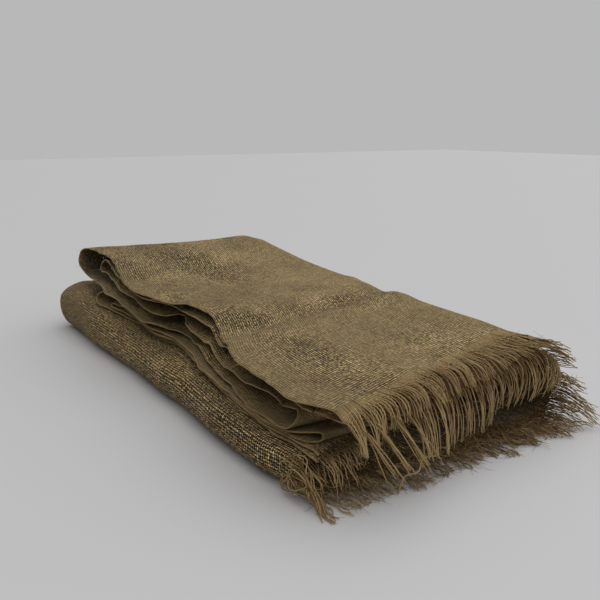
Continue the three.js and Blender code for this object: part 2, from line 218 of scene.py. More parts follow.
def curve_through(xs, ys, x):
    """A smooth curve through the points (xs, ys) at x, level beyond both ends."""
    last = len(xs) - 1
    straight = [(ys[i + 1] - ys[i]) / (xs[i + 1] - xs[i]) for i in range(last)]
    slopes = [straight[0]]
    for i in range(1, last):
        before = xs[i] - xs[i - 1]
        after = xs[i + 1] - xs[i]
        slopes.append((straight[i - 1] * after + straight[i] * before) / (before + after))
    slopes.append(straight[-1])
    at = np.clip(x, xs[0], xs[last])
    result = ys[0] + 0 * at
    for i in range(last):
        span = xs[i + 1] - xs[i]
        t = (at - xs[i]) / span
        u = 1 - t
        ends = (1 + 2 * t) * u * u * ys[i] + t * t * (3 - 2 * t) * ys[i + 1]
        piece = ends + span * (t * u * u * slopes[i] - t * t * u * slopes[i + 1])
        result = np.where(at >= xs[i], piece, result)
    return result


def corners_at(v, name):
    """A column of CORNERS at a place along the width, mixed in proportion between its rows."""
    return np.interp(v, range(len(CORNERS)), column(CORNERS, CORNER_COLUMNS, name))


def run_and_share(place):
    """Which run a place lies on, and how far along that run it is."""
    run = np.clip(np.floor(place), 0, RUNS - 1)
    return run, place - run


def on_runs(run, choices):
    """From one array of values for each run, those of the run that each place lies on."""
    return np.select([run == k for k in range(RUNS)], choices)


def lengthwise(u, v):
    """x, and the offset of the ply from the middle of its bundle."""
    outer, inner, half, upper_end, lower_end = (corners_at(v, name) for name in CORNER_COLUMNS)
    run, t = run_and_share(u)
    across, along = np.sin(np.pi * t), np.cos(np.pi * t)
    runs = (
        (mix(upper_end, outer, t), 1.5 + 0 * t),
        (outer - TURN_REACH["outer"] * across, 1.5 * along),
        (mix(outer, half, t), -1.5 + 0 * t),
        (half + TURN_REACH["half"] * across, -1 - 0.5 * along),
        (mix(half, inner, t), -0.5 + 0 * t),
        (inner - TURN_REACH["inner"] * across, -0.5 * along),
        (mix(inner, lower_end, t), 0.5 + 0 * t),
    )
    x, plies = (on_runs(run, choices) for choices in zip(*runs))
    return x, STEP * plies


def widthwise(v, offset):
    """y and the level of a ply with the given offset in its bundle."""
    run, t = run_and_share(v)
    across, along = np.sin(np.pi * t), np.cos(np.pi * t)

    def strip(start, end, level):
        return mix(start, end, t), level + 0 * t

    def loop(start, side, middle, radius):
        return start + side * np.abs(radius) * across, middle + radius * along

    runs = (
        strip(FRONT, BACK_TURN, 3.5 * BUNDLE + offset),
        loop(BACK_TURN, BACK_REACH, 2 * BUNDLE, 1.5 * BUNDLE + offset),
        strip(BACK_TURN, FRONT_TURN, 0.5 * BUNDLE - offset),
        loop(FRONT_TURN, -1, BUNDLE, -(0.5 * BUNDLE + offset)),
        strip(FRONT_TURN, BACK_TURN, 1.5 * BUNDLE + offset),
        loop(BACK_TURN, BACK_REACH, 2 * BUNDLE, -(0.5 * BUNDLE - offset)),
        strip(BACK_TURN, FRONT, 2.5 * BUNDLE - offset),
    )
    return tuple(on_runs(run, choices) for choices in zip(*runs))


def height_of(x, level):
    """Height of a level of the settled stack."""
    plies = [ply * STEP for ply in column(HEIGHTS, HEIGHT_COLUMNS, "ply")]
    at = [
        curve_through(plies, column(HEIGHTS, HEIGHT_COLUMNS, place), level)
        for place in HEIGHT_PLACES
    ]
    return curve_through(HEIGHT_PLACES, at, x)


def edge_shift(x, level):
    """How far the free edge of a level is pulled back along y."""
    places = column(EDGES, EDGE_COLUMNS, "x")
    names = list(EDGE_PLIES)
    levels = [EDGE_PLIES[name] * STEP for name in names]
    shifts = [curve_through(places, column(EDGES, EDGE_COLUMNS, name), x) for name in names]
    result = shifts[0]
    for low, high, before, after in zip(levels, levels[1:], shifts, shifts[1:]):
        result = np.where(level > low, mix(before, after, rise(level, low, high)), result)
    return result


def pocket_lifts(x, y, level):
    """How far the air in the pockets lifts a level."""
    total = 0 * x
    for px, py, before, after, wide, ply, soft, lift in POCKETS:
        along = (x - px) / np.where(x < px, before, after)
        across = (y - py) / wide
        above = smooth((level / STEP - ply) / soft + 0.5)
        total = total + lift * np.exp(-along * along - across * across) * above
    return total


def ridge_lifts(x, y, level):
    """How far the ridges and troughs lift a level."""
    total = 0 * x
    for start_x, start_y, to_x, to_y, wide, lift in RIDGES:
        run_x, run_y = to_x - start_x, to_y - start_y
        share = ((x - start_x) * run_x + (y - start_y) * run_y) / (run_x**2 + run_y**2)
        share = np.clip(share, 0, 1)
        off = np.hypot(x - start_x - share * run_x, y - start_y - share * run_y)
        total = total + lift * np.exp(-((off / wide) ** 2))
    return total * smooth((level / STEP - RIDGE_PLY) / RIDGE_SOFT + 0.5)


def lay(x, y, level, half_thickness):
    """A place in the settled stack, from x, y and level in the ideal one."""
    droop = mix(1, DROOP["to"], rise(x, *DROOP["x"]))
    lifts = pocket_lifts(x, y, level) + ridge_lifts(x, y, level)
    raised = height_of(x, level) + lifts - half_thickness
    splay = rise(x, *SPLAY["x"]) * rise(y, *SPLAY["y"])
    shifted = y + edge_shift(x, level) * smooth(1 - y / EDGE_FADE) + SPLAY["by"] * splay
    return np.stack([x, shifted, half_thickness + raised * droop], axis=-1)


# ---- The sheet ----


def run_nodes(cells, bunching):
    """Places from 0 to 7 with the given cells on each run. bunching maps a run to a power that
    crowds its cells towards its start, or with a minus sign towards its end."""
    nodes = []
    for run, count in enumerate(cells):
        t = np.arange(count) / count
        power = bunching.get(run, 1)
        t = 1 - (1 - t) ** -power if power < 0 else t**power
        nodes.append(run + t)
    return np.concatenate([*nodes, [RUNS]])


def waves(along, table):
    """A sum of sines of (length, size, phase), which lies between about -1 and 1."""
    return sum(size * np.sin(2 * np.pi * (along / length + phase)) for length, size, phase in table)


def figure(u, v, half_thickness):
    """x, y and level of (u, v) in the ideal stack, and the place it has in the settled one."""
    x, offset = lengthwise(u, v)
    y, level = widthwise(v, offset)
    return x, y, level, lay(x, y, level, half_thickness)


def lengths(points, axis):
    """Length of cloth from the first edge to each point, along one axis of the grid."""
    steps = np.linalg.norm(np.diff(points, axis=axis), axis=-1)
    first = np.zeros_like(np.take(steps, [0], axis=axis))
    return np.concatenate([first, np.cumsum(steps, axis=axis)], axis=axis)


class Sheet:
    """The folded cloth as a grid of points in the figure's own millimetres, with the place of
    each point in the flat cloth: along from the upper frayed end, and across from the edge."""

    def __init__(self, thickness):
        self.half = thickness / 2
        self.u = run_nodes(LENGTH_CELLS, {})
        self.v = run_nodes(WIDTH_CELLS, CROWDED)
        u, v = np.meshgrid(self.u, self.v, indexing="ij")
        x, y, level, points = figure(u, v, self.half)
        self.along = lengths(points, 0)
        self.across = lengths(points, 1)
        self.points = lay(x, y + self.sway(), level + self.lift(), self.half)
        self.normals = self.upward()
        self.even_out()

    def near_edge(self):
        """1 on a free edge, falling to 0 away from it."""
        from_far = self.across[:, -1:] - self.across
        return np.exp(-self.across / EDGE_DEPTH) + np.exp(-from_far / EDGE_DEPTH)

    def sway(self):
        """Waves that push the free edges in and out."""
        return EDGE_SWAY * self.near_edge() * waves(self.along, EDGE_WAVES)

    def lift(self):
        """Unevenness up and down, as a shift of level, so that no ply meets the next one."""
        edge = EDGE_LIFT * self.near_edge() * waves(self.along, EDGE_FLUTTERS)
        return edge + FACE_LIFT * waves(self.along, LENGTH_WAVES) * waves(self.across, WIDTH_WAVES)

    def even_out(self):
        """Makes the flat lengths agree at the front fold and at the far edges. What the settled
        folds add or take goes to runs that lie inside the stack."""
        front = np.argmin(np.abs(self.v - FRONT_FOLD))
        for place, shares in ((front, (0, 0, 1, 1, 0, 0)), (-1, (0, 0, 0, 0, 1, 1))):
            error = self.across[:, place] - self.across[:, place].mean()
            share = np.interp(self.v, HIDDEN_ACROSS, shares)
            self.across = self.across - error[:, None] * share[None]
        error = self.along[-1] - self.along[-1].mean()
        share = np.interp(self.u, HIDDEN_ALONG, (0, 0, 1, 1))
        self.along = self.along - share[:, None] * error[None]

    def upward(self):
        """Unit normals, which point up on the top ply."""
        along_u = np.gradient(self.points, axis=0)
        along_v = np.gradient(self.points, axis=1)
        return unit(np.cross(along_v, along_u))

    def size(self):
        """Mean flat width and length."""
        return self.across[:, -1].mean(), self.along[-1].mean()

    def shift(self):
        """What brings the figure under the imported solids: they share the middle of their box."""
        low, high = (np.array(corner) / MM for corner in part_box("cloth"))
        box_low = self.points.min(axis=(0, 1))
        box_high = self.points.max(axis=(0, 1))
        move = (low + high - box_low - box_high) / 2
        move[2] = 0.0
        return move


def grid_faces(rows, columns, first):
    """Quads of a grid whose vertices are numbered row by row from first."""
    corner = first + np.arange(rows - 1)[:, None] * columns + np.arange(columns - 1)[None, :]
    corner = corner.ravel()
    return np.stack([corner, corner + 1, corner + columns + 1, corner + columns], axis=-1)


def rim_faces(rows, columns, first_under):
    """Quads that join the upper and the under side all round the edge of a grid."""
    top = np.arange(columns)
    right = np.arange(rows) * columns + columns - 1
    bottom = (rows - 1) * columns + np.arange(columns)[::-1]
    left = (np.arange(rows) * columns)[::-1]
    ring = np.concatenate([top[:-1], right[:-1], bottom[:-1], left])
    following = np.roll(ring[:-1], -1)
    ring = ring[:-1]
    return np.stack([ring, ring + first_under, following + first_under, following], axis=-1)


def new_object(name, vertices, faces, material):
    """A mesh object in the scene's collection from arrays, with its faces smooth."""
    mesh = bpy.data.meshes.new(name)
    mesh.from_pydata(vertices.tolist(), [], [list(map(int, face)) for face in faces])
    mesh.polygons.foreach_set("use_smooth", np.ones(len(mesh.polygons), dtype=bool))
    mesh.materials.append(material)
    made = bpy.data.objects.new(name, mesh)
    bpy.context.scene.collection.objects.link(made)
    return made


def put_uv(mesh, name, places):
    """A UV map from one pair of numbers for each vertex."""
    corner = np.empty(len(mesh.loops), dtype=np.int32)
    mesh.loops.foreach_get("vertex_index", corner)
    layer = mesh.uv_layers.new(name=name)
    layer.data.foreach_set("uv", places[corner].astype(np.float32).ravel())


def put_values(mesh, name, values):
    """A named number for each vertex, which a material can read."""
    layer = mesh.attributes.new(name, "FLOAT", "POINT")
    layer.data.foreach_set("value", values.astype(np.float32))


# Where the weave of the top ply is open enough to see through, and how open it is all round the
# front fold and along the frayed ends. Columns: x, y, reach along, reach across, open.
OPEN_PATCHES = (
    (30, 60, 120, 70, 0.55),
    (95, 72, 55, 18, 0.65),
    (246, 26, 20, 42, 0.75),
    (244, 128, 24, 40, 0.75),
    (335, 32, 62, 26, 0.6),
    (340, 120, 34, 34, 0.4),
    (60, 12, 50, 12, 0.5),
    (0, 150, 30, 30, 0.4),
    (175, 8, 26, 10, 0.5),
)
OPEN_BASE = 0.18
OPEN_FOLD = {"open": 0.72, "v": 1.4}  # at the front fold, and how far round it
OPEN_END = {"open": 0.4, "along": 16.0}  # at a frayed end, and how far in


def openness(sheet):
    """How open the weave is at each point of the sheet."""
    x, y = sheet.points[..., 0], sheet.points[..., 1]
    patches = sum(
        amount * np.exp(-(((x - px) / along) ** 2) - ((y - py) / across) ** 2)
        for px, py, along, across, amount in OPEN_PATCHES
    )
    fold = OPEN_FOLD["open"] * np.exp(-(((sheet.v - FRONT_FOLD) / OPEN_FOLD["v"]) ** 4))
    to_end = np.minimum(sheet.along, sheet.along[-1] - sheet.along)
    end = OPEN_END["open"] * np.exp(-to_end / OPEN_END["along"])
    on_top = sheet.v[None] <= 1
    return np.clip(OPEN_BASE + patches * on_top + fold[None] + end, 0, 1)


# Painted shade deep in the two ends of the stack, where the plies lie in shade: between which
# places along and across it comes in, and how much of its brightness the cloth keeps there.
FRAYED_PAINTED_SHADE = {"x": (325, 368), "y": (40, 110), "kept": 0.38}
FOLDED_PAINTED_SHADE = {"x": (80, 25), "y": (-9, 12), "kept": 0.3}
TOP_PAINTED_LIGHT = {"y": (15, 145), "tone": (0.88, 1.03)}  # painted light on the top ply: darker towards the front, lighter towards the back
TOP_FADE = 0.4  # how far round the folds that painted light fades out


def painted_shade_and_light(sheet):
    """Painted shade deep in the ends and painted light on the top ply: what part of its brightness
    each point keeps, on the upper and on the under face.
    """
    x, y = sheet.points[..., 0], sheet.points[..., 1]

    # painted shade that darkens the cloth deep in one end of the stack
    def paint_shade(depth, where):
        deep = rise(x, *depth["x"]) * rise(y, *depth["y"])
        return mix(1.0, depth["kept"], deep * where)

    u, v = sheet.u[:, None], sheet.v[None]
    inside = (u > 1.5) | (v > 3.5)  # all but the outermost ply
    core = (u > 3) & (v < 1)  # the two middle plies of the top four
    shell = (u < 3) & (v < 1)  # the other two, which get painted shade on their under face only
    top = smooth((1 + TOP_FADE - u) / TOP_FADE) * smooth((1 + TOP_FADE - v) / TOP_FADE)
    # painted light: the top ply is darker at its front than at its back
    top_light = mix(1.0, mix(*TOP_PAINTED_LIGHT["tone"], rise(y, *TOP_PAINTED_LIGHT["y"])), top)
    both = top_light * paint_shade(FRAYED_PAINTED_SHADE, inside) * paint_shade(FOLDED_PAINTED_SHADE, core)
    return both, both * paint_shade(FOLDED_PAINTED_SHADE, shell)


def make_cloth(sheet, material):
    """The cloth as one closed sheet of its own thickness."""
    rows, columns = sheet.points.shape[:2]
    middle = (sheet.points + sheet.shift()).reshape(-1, 3)
    outward = sheet.normals.reshape(-1, 3) * sheet.half
    vertices = np.concatenate([middle + outward, middle - outward]) * MM
    upper = grid_faces(rows, columns, 0)
    under = grid_faces(rows, columns, rows * columns)[:, ::-1]
    faces = np.concatenate([upper, under, rim_faces(rows, columns, rows * columns)])
    cloth = new_object("woven_cloth", vertices, faces, material)
    flat = np.stack([sheet.along, sheet.across], axis=-1).reshape(-1, 2) * MM
    put_uv(cloth.data, "flat", np.concatenate([flat, flat]))
    put_values(cloth.data, "open", np.tile(openness(sheet).ravel(), 2))
    # the painted shade deep in the ends and the painted light on the top ply, for the material
    put_values(cloth.data, "kept", np.concatenate(painted_shade_and_light(sheet)).ravel())
    return cloth


# ---- Threads ----

THREAD_SIDES = 5
FIBRE_SIDES = 3
UPRIGHT = 0.9  # rise against length from which a tube counts as upright


def rings_along(paths, radii, sides):
    """Vertices of round tubes along paths (count, steps, 3), with radii (count, steps)."""
    ahead = unit(np.gradient(paths, axis=1))
    upright = np.abs(ahead[:, 0, 2:]) > UPRIGHT
    helper = np.where(upright, [[1.0, 0, 0]], [[0, 0, 1.0]])
    beside = np.empty_like(paths)
    for step in range(paths.shape[1]):
        now = ahead[:, step]
        helper = unit(helper - (helper * now).sum(-1, keepdims=True) * now)
        beside[:, step] = helper
    above = np.cross(ahead, beside)
    angle = 2 * np.pi * np.arange(sides) / sides
    around = (
        beside[:, :, None] * np.cos(angle)[None, None, :, None]
        + above[:, :, None] * np.sin(angle)[None, None, :, None]
    )
    return paths[:, :, None] + around * radii[:, :, None, None]


def tube_faces(count, steps, sides, first):
    """Side quads of tubes whose rings are numbered one after another from first."""
    ring = np.arange(sides)
    quad = np.stack(
        [ring, (ring + 1) % sides, sides + (ring + 1) % sides, sides + ring], axis=-1
    )
    starts = first + np.arange(count)[:, None] * steps * sides + np.arange(steps - 1) * sides
    return (starts.reshape(-1, 1, 1) + quad[None]).reshape(-1, 4)


def tube_caps(count, steps, sides, first):
    """The two end faces of each tube."""
    starts = first + np.arange(count)[:, None] * steps * sides
    head = starts + np.arange(sides)[None, ::-1]
    tail = starts + (steps - 1) * sides + np.arange(sides)[None]
    return np.concatenate([head, tail])


class Yarns:
    """Collects round threads and joins them into one mesh."""

    def __init__(self, sides):
        self.sides = sides
        self.vertices = []
        self.faces = []
        self.tones = []
        self.places = []
        self.count = 0

    def add(self, paths, radii, tones):
        """Threads along paths (count, steps, 3) with radii (count, steps) and with tones for each
        step (count, steps) or for whole threads (count, 1)."""
        count, steps = paths.shape[:2]
        rings = rings_along(paths, radii, self.sides)
        self.vertices.append(rings.reshape(-1, 3))
        self.faces += tube_faces(count, steps, self.sides, self.count).tolist()
        self.faces += tube_caps(count, steps, self.sides, self.count).tolist()
        self.tones.append(np.repeat(np.broadcast_to(tones, (count, steps)), self.sides))
        length = lengths(paths, 1)[:, :, None]
        turn = np.arange(self.sides)[None, None] / self.sides
        place = np.stack(np.broadcast_arrays(length, turn), axis=-1)
        self.places.append(place.reshape(-1, 2))
        self.count += count * steps * self.sides

    def add_one(self, path, radius, tone):
        """One thread of even thickness."""
        self.add(path[None], np.full((1, len(path)), radius), np.array([[tone]]))

    def join(self, other):
        """Takes in the threads of another collection."""
        self.vertices += other.vertices
        self.faces += [[corner + self.count for corner in face] for face in other.faces]
        self.tones += other.tones
        self.places += other.places
        self.count += other.count

    def make(self, name, material, shift):
        """One object of all the threads, in metres."""
        vertices = (np.concatenate(self.vertices) + shift) * MM
        made = new_object(name, vertices, self.faces, material)
        put_values(made.data, "tone", np.concatenate(self.tones))
        put_uv(made.data, "thread", np.concatenate(self.places) * [MM, 1])
        return made


# How loose threads stand at places v across a frayed end: the angles in degrees by which they
# fall at their root and tip, how far their tips lean back (+) or forward (-), their length
# against the fringe length, how unevenly they are cut, how far they curl from side to side, and
# their spacing against the pitch of the weave.
FRINGE_COLUMNS = ("v", "root", "tip", "lean", "reach", "ragged", "curl", "spacing")
UPPER_FRINGE = (
    (0.0, 12, 34, -2, 0.62, 0.05, 0.5, 0.62),  # the top ply
    (0.06, 16, 60, -3, 0.66, 0.05, 0.5, 0.66),
    (0.14, 22, 80, -2, 0.63, 0.05, 0.5, 0.66),
    (0.28, 8, 70, -2, 0.67, 0.05, 0.5, 0.66),
    (0.45, -3, 56, -2, 0.72, 0.05, 0.5, 0.62),
    (0.60, -5, 52, -1, 0.74, 0.06, 0.5, 0.62),
    (0.80, -6, 30, 4, 0.8, 0.08, 0.6, 0.62),
    (1.05, -4, 20, 5, 0.95, 0.12, 0.9, 0.5),
    (1.15, 0, 28, 4, 1.0, 0.15, 1.0, 0.45),  # round the back
    (1.70, 2, 22, 4, 0.95, 0.15, 1.0, 0.5),
    (2.0, 0, 0, 2, 0.62, 0.06, 1.6, 0.62),  # the lowest ply, on the surface
    (3.0, 2, 4, -2, 0.62, 0.06, 1.6, 0.62),
    (3.3, 10, 35, -2, 1.0, 0.15, 1.8, 0.8),  # round the front fold
    (3.8, 20, 60, 0, 0.95, 0.2, 1.5, 0.8),
    (4.2, 15, 60, 0, 0.45, 0.2, 1.0, 1.7),  # between the two bundles
    (4.5, 15, 60, 0, 0.3, 0.2, 1.0, 2.2),
    (4.7, 25, 75, -3, 0.9, 0.25, 2.0, 1.2),
    (6.2, 25, 75, -3, 0.9, 0.25, 2.0, 1.2),
    (6.4, 15, 60, 0, 0.3, 0.2, 1.0, 2.2),
    (6.8, 15, 60, 0, 0.4, 0.2, 1.0, 1.2),
    (7.0, 20, 75, -2, 0.7, 0.15, 1.0, 1.0),
)
LOWER_FRINGE = (
    (0.0, 26, 34, 3, 1.85, 0.03, 0.5, 0.8),  # under the top ply
    (0.06, 26, 40, 4, 1.75, 0.05, 0.7, 1.1),
    (0.27, 26, 44, 2, 1.6, 0.08, 0.8, 1.1),
    (0.34, 10, 78, -3, 1.45, 0.05, 0.7, 0.66),
    (0.62, 8, 84, -3, 1.3, 0.05, 0.7, 0.62),
    (0.72, 10, 100, -2, 1.0, 0.12, 1.0, 0.58),
    (1.2, 6, 110, -4, 0.88, 0.14, 1.5, 0.58),
    (1.25, 0, 34, 4, 0.9, 0.15, 0.9, 0.6),
    (1.4, 2, 25, 4, 0.95, 0.15, 1.0, 0.6),  # round the back
    (1.8, 4, 20, 4, 0.8, 0.15, 1.0, 0.7),
    (2.05, 6, 12, 2, 0.56, 0.1, 1.6, 0.9),  # second from the bottom
    (3.0, 8, 16, -2, 0.56, 0.1, 1.6, 0.9),
    (3.5, 18, 50, -1, 0.95, 0.2, 1.6, 0.9),
    (4.2, 15, 50, 0, 0.4, 0.2, 1.0, 1.7),
    (4.6, 15, 60, 0, 0.3, 0.2, 1.0, 2.2),
    (6.4, 15, 60, 0, 0.3, 0.2, 1.0, 2.2),
    (6.8, 15, 60, 0, 0.4, 0.2, 1.0, 1.2),
    (7.0, 25, 80, -2, 0.7, 0.15, 1.0, 1.0),
)
# Tufts that hold together, from one place to another across the end, and how far they gather.
UPPER_TUFTS = (
    (0.0, 0.07, 0.5), (0.3, 0.38, 0.5), (0.56, 0.64, 0.5), (1.0, 1.12, 0.5), (1.12, 1.3, 0.3),
    (1.3, 1.5, 0.4), (1.5, 1.72, 0.3), (1.72, 1.9, 0.4),
)
LOWER_TUFTS = (
    (0.0, 0.07, 0.92), (0.07, 0.16, 0.9), (0.16, 0.26, 0.88), (0.62, 0.72, 0.05),
    (0.72, 1.2, 0.06), (1.2, 1.36, 0.4), (1.36, 1.55, 0.3), (1.55, 1.8, 0.4),
)
TUFT_WIDTH = (5.0, 17.0)  # narrowest and widest of the other tufts
TUFT_SKEW = (1.4, 2.6)  # shape of the beta distribution of their widths
TUFT_GATHER = {"upper": (0.0, 0.3), "lower": (0.15, 0.6)}  # how far they close up at the tip
TUFT_ROUND = 0.1  # how much shorter a tuft is at its sides
TUFT_SPREAD = {"fall": 7.0, "lean": 2.2, "reach": 0.06}  # how much tufts differ
THREAD_SPREAD = {"fall": 2.2, "lean": 0.5}  # how much the threads in a tuft differ
# How many times as much as that the tufts differ at places v.
WILD = ((0.5, 0.6), (0.65, 0.1), (0.8, 0.1), (1.25, 2.0), (1.6, 2.0), (2.0, 1.0))
THREAD_STEPS = 22
SUPPORT = 12.0  # how far past the ply beneath it a thread has come to hang freely
INSET = 9.0  # how far into the cloth the threads start
EMERGED = 0.35  # how far they have come out of it at its end
FREE_STEPS = THREAD_STEPS - 3  # steps of a thread from there on
PAIR_CLING = (0.1, 0.8)  # how far two neighbouring threads close up
CLING_PACE = 5  # they have done so after 1 / this of their length
GATHER_PACE = 1.1  # and a tuft has gathered after 1 / this
WANDER = 0.7  # how far a thread strays by its tip
LEAN_POWER = 1.5  # how late along its length a thread leans
CRIMP = 0.25  # waves that the weave has left in a thread
CRIMP_TURN = 2.4  # radians of them from step to step
CRIMP_LOSS = 0.6  # what part of them is gone at the tip
CURL_TURN = 0.42  # radians of the longer waves from step to step
CURL_VARIETY = 0.3  # how much threads differ in that
FLOOR_CLEAR = (1.05, 3.0)  # least height over the floor, in radii of the thread
THICKNESS = (0.75, 1.2)  # of the thinnest and the thickest thread against the usual one
TIP_THICKNESS = 0.6  # of a thread's tip against its root
PAINTED_LIGHT_STEPS = (2, 8, 18)  # steps along a thread with these tones, from dark 0 to light 1, which are painted shade and highlight
# Painted shade darkens the roots of the lower end's threads, under the rows above, and painted
# highlight lightens the tips of all threads.
PAINTED_LIGHT_ALONG = {"upper": (0.8, 0.66, 0.92), "lower": (0.0, 0.12, 1.0)}
TONE_SPREAD = 0.24  # how much the tones of threads differ
# Painted shade: how much darker the threads are at places v, round the back, along the floor and
# between the bundles, where they hang in shade.
THREAD_PAINTED_SHADE = (
    (1.3, 0.0), (1.8, 0.1), (2.1, 0.4), (2.6, 0.4), (2.9, 0.0), (3.9, 0.0), (4.3, 0.3),
    (6.6, 0.3), (6.9, 0.0),
)


class Fringe:
    """The loose threads at the first or the last row of the sheet."""

    def __init__(self, sheet, end, settings):
        upper = end == "upper"
        row, inner = (0, 1) if upper else (-1, -2)
        self.end = end
        self.rng = np.random.default_rng(SEED + (0 if upper else 1))
        self.pitch = settings.pitch / MM
        self.length = settings.fringe_length / MM
        self.radius = settings.thread_diameter / 2 / MM
        self.edge = sheet.points[row]
        self.normals = sheet.normals[row]
        self.inward = sheet.points[inner] - sheet.points[row]
        self.edge_across = sheet.across[row]
        self.edge_v = sheet.v
        self.table = UPPER_FRINGE if upper else LOWER_FRINGE
        self.placed = UPPER_TUFTS if upper else LOWER_TUFTS
        self.across = self.places_across()
        self.v = np.interp(self.across, self.edge_across, self.edge_v)
        self.paths, self.radii, self.tones = self.grow()

    def places_across(self):
        """Where the threads stand along the edge."""
        spacing = self.standing("spacing", self.edge_v) * self.pitch
        steps = np.diff(self.edge_across) / ((spacing[1:] + spacing[:-1]) / 2)
        counted = np.concatenate([[0.0], np.cumsum(steps)])
        return np.interp(np.arange(int(counted[-1])) + 0.5, counted, self.edge_across)

    def at(self, across, values):
        """Values given at the sheet's own places, read at other places across the edge."""
        columns = [np.interp(across, self.edge_across, values[:, k]) for k in range(3)]
        return np.stack(columns, axis=-1)

    def standing(self, name, v):
        """A column of the fringe table at places v."""
        places = column(self.table, FRINGE_COLUMNS, "v")
        return np.interp(v, places, column(self.table, FRINGE_COLUMNS, name))

    def tufts(self):
        """For each thread its tuft, its place in the tuft from -1 to 1, the tuft's half width
        and how far the tuft gathers."""
        placed = [
            (*np.interp(ends, self.edge_v, self.edge_across), gather)
            for *ends, gather in self.placed
        ]
        edges, gathers = [0.0], []
        while edges[-1] < self.across[-1]:
            here = edges[-1]
            end = here + mix(*TUFT_WIDTH, self.rng.beta(*TUFT_SKEW))
            gather = self.rng.uniform(*TUFT_GATHER[self.end])
            for start, stop, held in placed:
                if start <= here + self.pitch / 2 < stop:
                    end, gather = stop, held
                elif here < start < end:
                    end = start
            edges.append(end)
            gathers.append(gather)
        edges = np.array(edges)
        tuft = np.searchsorted(edges, self.across, side="right") - 1
        middle = (edges[:-1] + edges[1:])[tuft] / 2
        half = np.diff(edges)[tuft] / 2
        return tuft, (self.across - middle) / half, half, np.array(gathers)[tuft]

    def habits(self):
        """How each thread falls, leans, curls and closes up, by name."""
        rng, count = self.rng, len(self.across)
        tuft, place, half, gather = self.tufts()
        wild = np.interp(self.v, *zip(*WILD))

        def usual(name):
            return self.standing(name, self.v)

        def spread(name):
            return (
                wild * TUFT_SPREAD[name] * rng.normal(size=tuft[-1] + 1)[tuft]
                + THREAD_SPREAD.get(name, 0.0) * rng.normal(size=count)
            )

        fall_more = spread("fall")
        root, tip = (np.radians(usual(name) + fall_more) for name in ("root", "tip"))
        lean = usual("lean") + spread("lean")
        cut = 1 + usual("ragged") * rng.uniform(-1, 1, count) - TUFT_ROUND * place**2
        total = self.length * (usual("reach") + spread("reach")) * cut
        pair = rng.uniform(*PAIR_CLING, count // 2 + 1)[np.arange(count) // 2]
        side = 1 - 2 * (np.arange(count) % 2)
        return {
            "root": root,
            "tip": tip,
            "lean": lean,
            "total": total,
            "cling": pair * np.gradient(self.across) / 2 * side,
            "closing": -place * half * gather,
            "curl": usual("curl"),
            "wander": rng.uniform(-1, 1, (2, count)),
            "turn": rng.uniform(0, 2 * np.pi, (2, count)),
        }

    def hang(self, root, tip, lean, total, cling, closing, curl, wander, turn):
        """Paths of the threads, step by step from where they leave the cloth."""
        across = self.across
        start = self.at(across, self.edge)
        outward = unit(-self.at(across, self.inward))
        beside = unit(self.at(across + 1, self.edge) - self.at(across - 1, self.edge))
        hold = np.maximum(corners_at(self.v, "upper_end"), corners_at(self.v, "lower_end"))
        raised = start + EMERGED * self.at(across, self.normals)
        points = [start - INSET * outward, raised - INSET / 2 * outward, raised]
        free_end = raised.copy()
        step = total / FREE_STEPS
        curl_turn = CURL_TURN * (1 + CURL_VARIETY * wander)
        for k in range(1, FREE_STEPS + 1):
            share = k / FREE_STEPS
            free = smooth((free_end[:, 0] - hold) / SUPPORT)
            angle = free * mix(root, tip, smooth(share))
            ahead = outward * np.cos(angle)[:, None]
            ahead[:, 2] -= np.sin(angle)
            free_end = free_end + ahead * step[:, None]
            closed = closing * smooth(GATHER_PACE * share) + cling * smooth(CLING_PACE * share)
            wave = CRIMP * (1 - CRIMP_LOSS * share) * np.sin(turn + CRIMP_TURN * k)
            wave = wave + curl * share * np.sin(2 * turn + curl_turn * k)
            sideways = closed + wander[0] * WANDER * share**2 + wave[0]
            bent = free_end + beside * sideways[:, None]
            bent[:, 1] += lean * share**LEAN_POWER
            bent[:, 2] += wave[1] + wander[1] * WANDER * share
            points.append(bent)
        return np.stack(points, axis=1)

    def grow(self):
        """Paths, radii and tones of the threads."""
        rng, count = self.rng, len(self.across)
        paths = self.hang(**self.habits())
        least = self.radius * rng.uniform(*FLOOR_CLEAR, (count, 1))
        paths[:, :, 2] = np.maximum(paths[:, :, 2], least)
        taper = np.linspace(1.0, TIP_THICKNESS, THREAD_STEPS)
        radii = self.radius * rng.uniform(*THICKNESS, count)[:, None] * taper[None]
        # along each thread: painted shade at the roots and painted highlight at the tips
        tones = np.interp(np.arange(THREAD_STEPS), PAINTED_LIGHT_STEPS, PAINTED_LIGHT_ALONG[self.end])[None]
        # painted shade on the threads that hang in shade
        tones = tones - np.interp(self.v, *zip(*THREAD_PAINTED_SHADE))[:, None]
        return paths, radii, np.clip(tones + TONE_SPREAD * rng.normal(size=(count, 1)), 0, 1)


FIBRES = 1900  # fine fibres that stand out from the loose threads of one end
FIBRE_RADIUS = 0.14
FIBRE_LENGTH = (1.5, 5.0)
FIBRE_SPREAD = (0.6, 0.6, 0.3)  # how far they turn away from their thread, along x, y and z
FIBRE_BEND = 1.6  # how far they curve aside
FIBRE_RETURN = 0.8  # how much of the thread's own way they lose
FIBRE_TONES = (0.1, 0.9)
FIBRE_STEPS = 6
FUZZY_RUN = 2  # the run across the width whose threads are the fuzziest
FUZZ = 9.0  # how many times fuzzier than the rest


